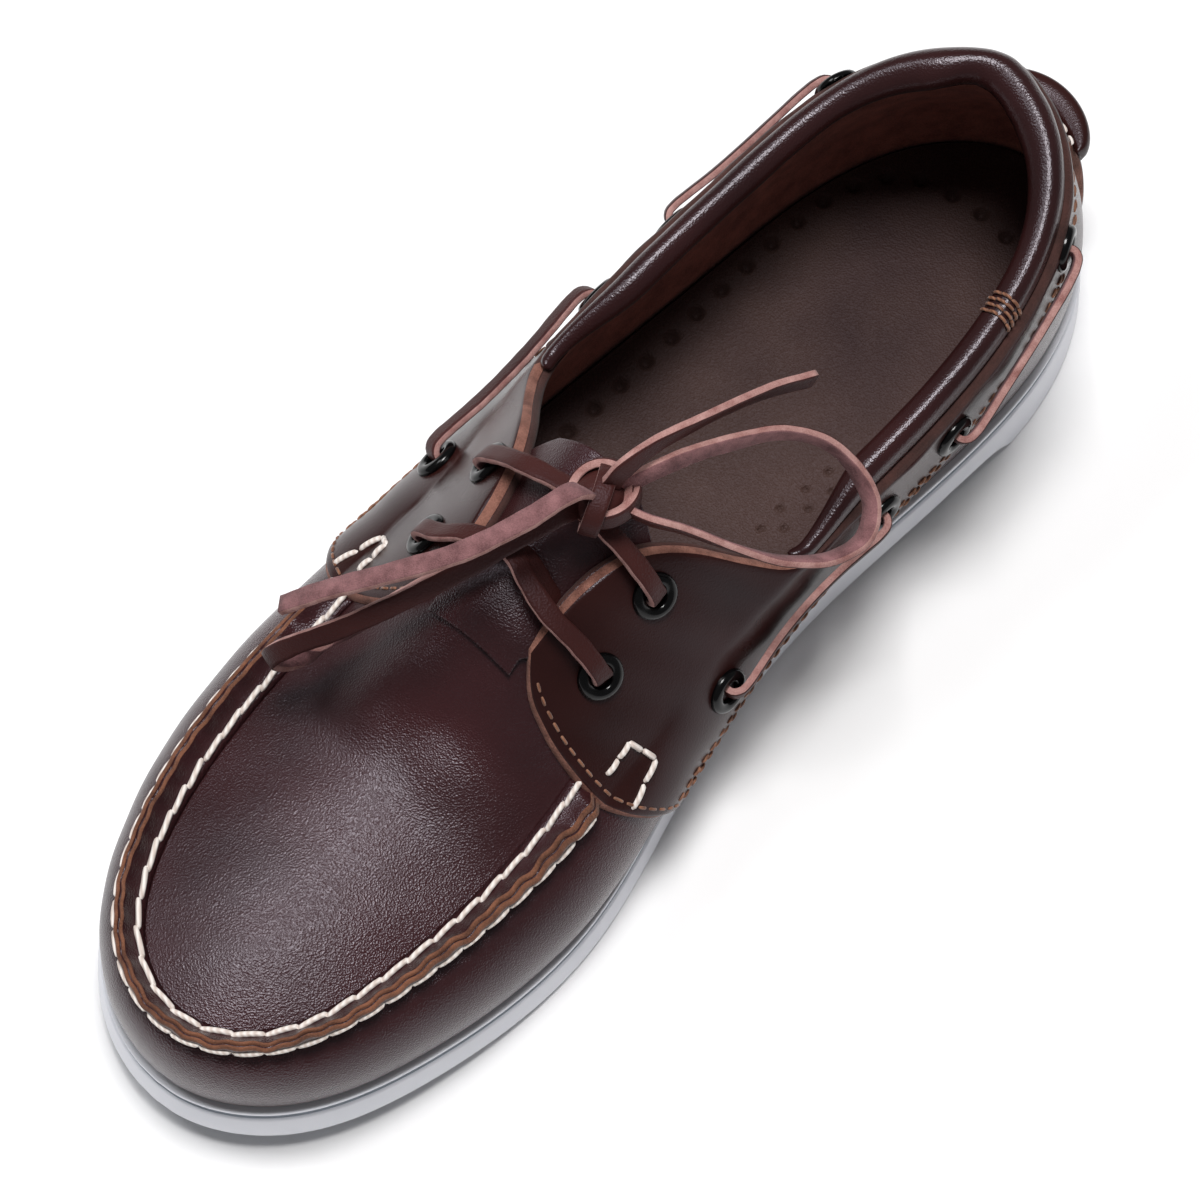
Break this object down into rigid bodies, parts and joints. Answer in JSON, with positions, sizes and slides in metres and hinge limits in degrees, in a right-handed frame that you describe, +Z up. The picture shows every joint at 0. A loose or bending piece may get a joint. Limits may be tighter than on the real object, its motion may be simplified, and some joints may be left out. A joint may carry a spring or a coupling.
{
  "type": "boat shoe",
  "caption": "Right boat shoe in dark brown leather with a raised moccasin seam, padded collar, rawhide lace tied in a bow and a white rubber sole",
  "frame": {"origin": "bottom centre of the bounding box, on the floor under the middle of the shoe", "axes": "-Y from heel to toe, +X toward the inner side of the right foot, +Z up"},
  "size_m": [0.0997, 0.2976, 0.1044],
  "materials": {
    "leather": "smooth glossy dark red-brown leather",
    "seam": "dark brown leather with raw edges",
    "saddle": "smooth dark brown leather",
    "roll": "glossy soft dark brown leather",
    "tongue": "thin matt dark brown leather",
    "footbed": "matt brown leather",
    "rubber": "smooth white moulded rubber",
    "eyelet": "black enamel on brass",
    "lace": "flat brown rawhide with raw edges",
    "tag": "plain dark woven cloth"
  },
  "bodies": {
    "root": {"outsole": "rubber", "insole": "footbed", "upper": "leather", "moc_seam": "seam", "saddle_inner": "saddle", "saddle_outer": "saddle", "heel_strap": "saddle", "kicker_tab": "saddle", "collar_roll": "roll", "tongue": "tongue", "eyelet_inner_throat_front": "eyelet", "eyelet_inner_throat_rear": "eyelet", "eyelet_inner_side_a_front": "eyelet", "eyelet_inner_side_a_rear": "eyelet", "eyelet_inner_side_b_front": "eyelet", "eyelet_inner_side_b_rear": "eyelet", "eyelet_outer_throat_front": "eyelet", "eyelet_outer_throat_rear": "eyelet", "eyelet_outer_side_a_front": "eyelet", "eyelet_outer_side_a_rear": "eyelet", "eyelet_outer_side_b_front": "eyelet", "eyelet_outer_side_b_rear": "eyelet", "lace_crossing": "lace", "lace_pull": "lace", "lace_bar_a_inner": "lace", "lace_bar_b_inner": "lace", "lace_bar_a_outer": "lace", "lace_bar_b_outer": "lace", "lace_knot": "lace", "lace_loop_right": "lace", "lace_loop_left": "lace", "lace_end_right": "lace", "lace_end_left": "lace", "side_tag": "tag"}
  },
  "joints": []
}
